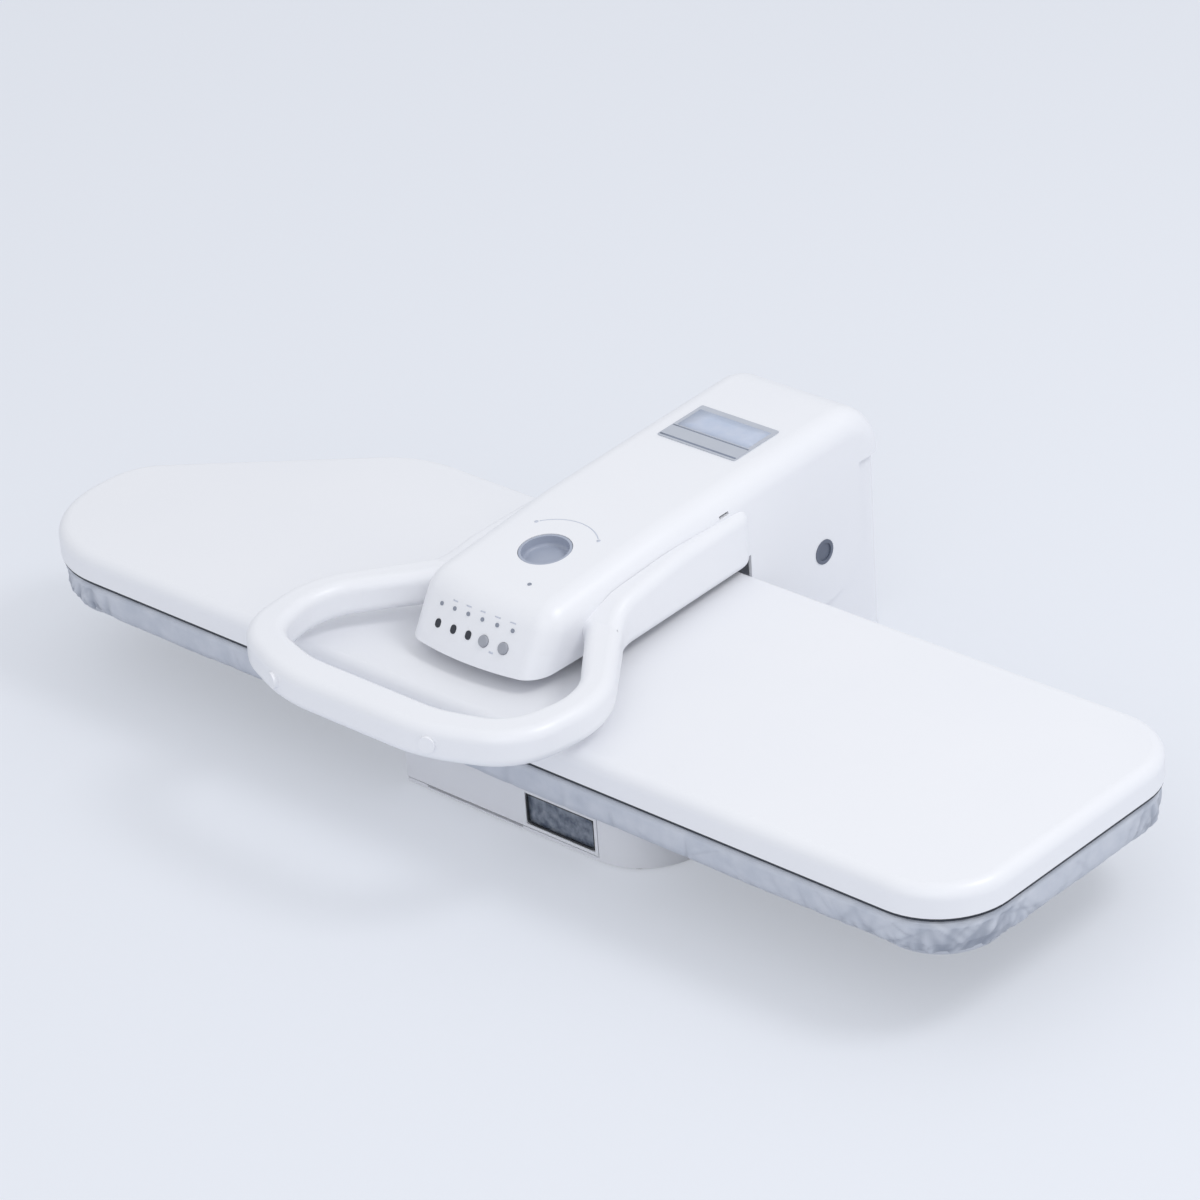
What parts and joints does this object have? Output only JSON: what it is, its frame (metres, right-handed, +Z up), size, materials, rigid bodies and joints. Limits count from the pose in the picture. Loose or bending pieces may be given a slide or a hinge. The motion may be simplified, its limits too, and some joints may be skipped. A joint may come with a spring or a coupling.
{
  "type": "steam press",
  "caption": "Closed tabletop steam press: tapered padded board, heated upper plate, swinging arm with loop handle and dial, rear column and a base with a slide-out water tank.",
  "frame": {"origin": "centre of the whole press on the table, under its feet", "axes": "+X along the board to its square right end, +Y to the rear column, +Z up"},
  "size_m": [0.966, 0.5503, 0.206],
  "materials": {
    "white_shell": "glossy white",
    "silver_cloth": "silver-grey heat-proof cloth",
    "foam": "felted foam",
    "steel": "zinc plated sheet and bar",
    "bronze": "plain sintered bronze",
    "plate_aluminium": "dark non-stick coat",
    "element_steel": "heat-tinted tube",
    "glass_fibre": "needled mat",
    "thermostat_body": "ceramic coloured",
    "black_plastic": "matt black",
    "plug_grey": "dark blue-grey",
    "dial_grey": "satin grey",
    "button_grey": "satin grey",
    "rubber": "plain",
    "pump_metal": "grey",
    "smoky_clear": "smoky clear",
    "board_green": "coated",
    "badge_silver": "satin silver",
    "lamp_dark": "smoky lens"
  },
  "bodies": {
    "stand": {"base_housing": "white_shell", "column_shell": "white_shell", "base_floor": "white_shell", "feet": "rubber", "hinge_bracket": "steel", "pivot_pins": "steel", "lift_spring_left": "steel", "lift_spring_right": "steel", "mains_inlet": "black_plastic", "power_board": "board_green", "water_pump": "pump_metal", "pump_cradle": "black_plastic", "suction_hose": "rubber", "delivery_hose": "rubber", "tank_socket": "black_plastic", "tank_rails": "black_plastic", "pad_cover": "silver_cloth", "board_foam": "foam", "board_tray": "steel", "board_brackets": "steel", "board_bolts": "steel"},
    "arm": {"arm_cover": "white_shell", "arm_underside": "white_shell", "handle_upper": "white_shell", "handle_lower": "white_shell", "handle_tube": "steel", "handle_caps": "white_shell", "arm_frame": "steel", "carrier_pin": "steel", "pivot_bushes": "bronze", "pivot_plugs": "plug_grey", "badge_plate": "badge_silver", "control_board": "board_green", "status_lamps": "lamp_dark", "lamp_lenses": "lamp_dark", "dial_switch": "black_plastic", "steam_hose": "rubber"},
    "plate": {"plate_cover": "white_shell", "heating_plate": "plate_aluminium", "heating_element": "element_steel", "steam_chamber": "plate_aluminium", "steam_riser": "plate_aluminium", "insulation_mat": "glass_fibre", "plate_carrier": "steel", "thermostat": "thermostat_body", "thermal_fuse": "thermostat_body", "fuse_clip": "steel"},
    "tank": {"tank_body": "smoky_clear", "tank_lid": "smoky_clear", "tank_plug": "black_plastic", "tank_front": "white_shell", "tank_valve": "black_plastic"},
    "dial": {"dial_knob": "dial_grey"},
    "left_button": {"button_left": "button_grey"},
    "right_button": {"button_right": "button_grey"}
  },
  "joints": [
    {"name": "arm_hinge", "type": "hinge", "parent": "stand", "child": "arm", "pos_m": [-0.012, 0.193, 0.1], "axis": [-1, 0, 0], "range_deg": [0, 40], "stiffness_Nm_per_rad": 6.1, "springref_deg": 140.95, "deforming": ["lift_spring_left", "lift_spring_right"]},
    {"name": "plate_rock", "type": "hinge", "parent": "arm", "child": "plate", "pos_m": [-0.012, -0.045, 0.15], "axis": [-1, 0, 0], "range_deg": [0, 2.2]},
    {"name": "tank_slide", "type": "slide", "parent": "stand", "child": "tank", "axis": [0, -1, 0], "range_m": [0, 0.12]},
    {"name": "dial_turn", "type": "hinge", "parent": "arm", "child": "dial", "pos_m": [-0.012, -0.052, 0.18996], "axis": [0, -0.1045, 0.9945], "range_deg": [-40, 40]},
    {"name": "left_button_press", "type": "slide", "parent": "arm", "child": "left_button", "axis": [0, 0.8661, -0.4999], "range_m": [0, 0.0012], "stiffness_N_per_m": 600, "springref_m": -0.0015},
    {"name": "right_button_press", "type": "slide", "parent": "arm", "child": "right_button", "axis": [0, 0.8661, -0.4999], "range_m": [0, 0.0012], "stiffness_N_per_m": 600, "springref_m": -0.0015}
  ],
  "couplings": [
    {"joint": "plate_rock", "follows": "arm_hinge", "ratio": 0.055}
  ]
}
